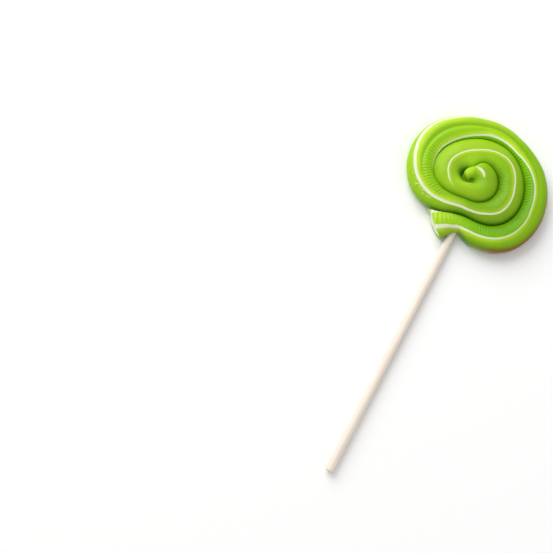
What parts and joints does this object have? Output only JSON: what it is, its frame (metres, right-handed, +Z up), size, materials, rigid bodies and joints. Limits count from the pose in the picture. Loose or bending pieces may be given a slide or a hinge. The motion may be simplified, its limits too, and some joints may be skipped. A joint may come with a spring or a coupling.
{
  "type": "swirl lollipop",
  "caption": "Swirl lollipop lying flat: a striped green candy rope with a white core, coiled into a ribbed spiral disc and pressed onto a round wooden stick.",
  "frame": {"origin": "middle of the whole footprint, stick and all, on the pressed flat underside", "axes": "+Y from the stick's free end to the candy, +Z up through the coil's shown side, +X to the right when the candy is seen from above with the stick towards the viewer"},
  "size_m": [0.0888, 0.232, 0.011],
  "materials": {
    "candy_jacket": "glossy boiled sugar, yellow-green with white stripes",
    "candy_core": "satin white pulled sugar",
    "stick": "smooth bare pale wood"
  },
  "bodies": {
    "root": {"candy_jacket": "candy_jacket", "candy_core": "candy_core", "stick": "stick"}
  },
  "joints": []
}
